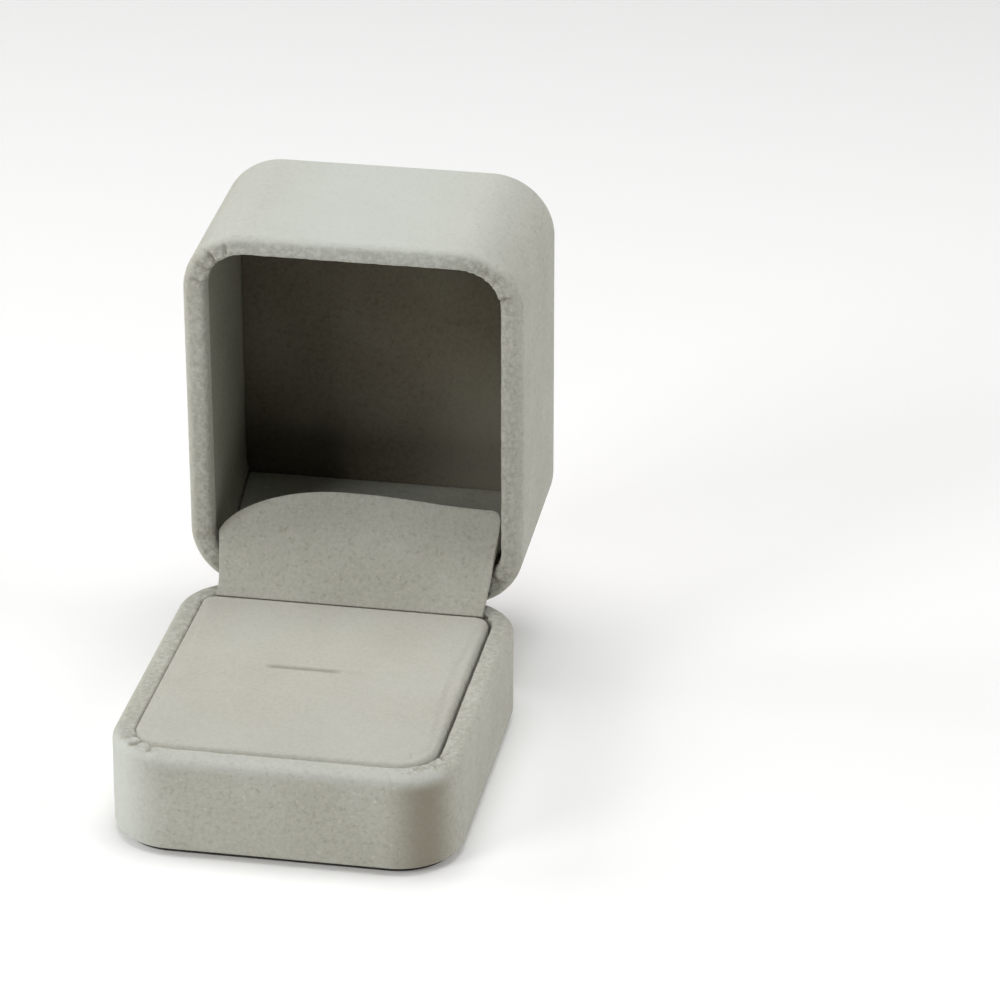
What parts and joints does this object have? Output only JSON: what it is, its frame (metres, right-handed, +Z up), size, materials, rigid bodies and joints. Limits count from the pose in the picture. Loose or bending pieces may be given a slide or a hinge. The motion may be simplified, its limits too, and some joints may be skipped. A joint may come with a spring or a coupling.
{
  "type": "ring box",
  "caption": "Hinged ring box covered in velvet, open, with a slit ring pad in the base, a flap over the sprung hinge and a padded top on the lid.",
  "frame": {"origin": "middle of the flat underside of the base", "axes": "+Z up, X along the hinge, the open front faces -Y and the lid stands at +Y"},
  "size_m": [0.05, 0.0875, 0.073],
  "materials": {
    "grey_velvet": "short pile velvet",
    "lining_velvet": "short pile velvet",
    "pink_velvet": "short pile velvet",
    "foam": "open cell",
    "card": "grey board",
    "sole_card": "dark paper board",
    "moulded_shell": "moulded",
    "hinge_steel": "stamped and plated",
    "rivet_steel": "plated",
    "spring_steel": "blued strip"
  },
  "bodies": {
    "base": {"base_sole": "sole_card", "base_velvet": "grey_velvet", "base_shell": "moulded_shell", "pad_card": "card", "pad_foam": "foam", "pad_velvet": "grey_velvet", "flap_tongue": "card", "hinge_base_leaf": "hinge_steel", "hinge_pin": "hinge_steel", "base_leaf_rivets": "rivet_steel", "hinge_spring": "spring_steel"},
    "flap": {"flap_card": "card", "flap_velvet": "grey_velvet"},
    "lid": {"lid_velvet": "grey_velvet", "lid_shell": "moulded_shell", "lid_wall_lining": "lining_velvet", "lid_rear_lining": "lining_velvet", "lid_ceiling_velvet": "lining_velvet", "lid_ceiling_card": "card", "top_pad_card": "card", "top_pad_foam": "foam", "top_pad_velvet": "pink_velvet", "hinge_lid_leaf": "hinge_steel", "lid_leaf_rivets": "rivet_steel"}
  },
  "joints": [
    {"name": "lid_hinge", "type": "hinge", "parent": "base", "child": "lid", "pos_m": [0, 0.02755, 0.01555], "axis": [1, 0, 0], "range_deg": [0, 87.5], "deforming": ["hinge_spring"]},
    {"name": "flap_fold", "type": "hinge", "parent": "base", "child": "flap", "pos_m": [0, 0.02285, 0.0152], "axis": [1, 0, 0], "range_deg": [0, 48.2]}
  ],
  "couplings": [
    {"joint": "flap_fold", "follows": "lid_hinge", "ratio": 0.55}
  ]
}
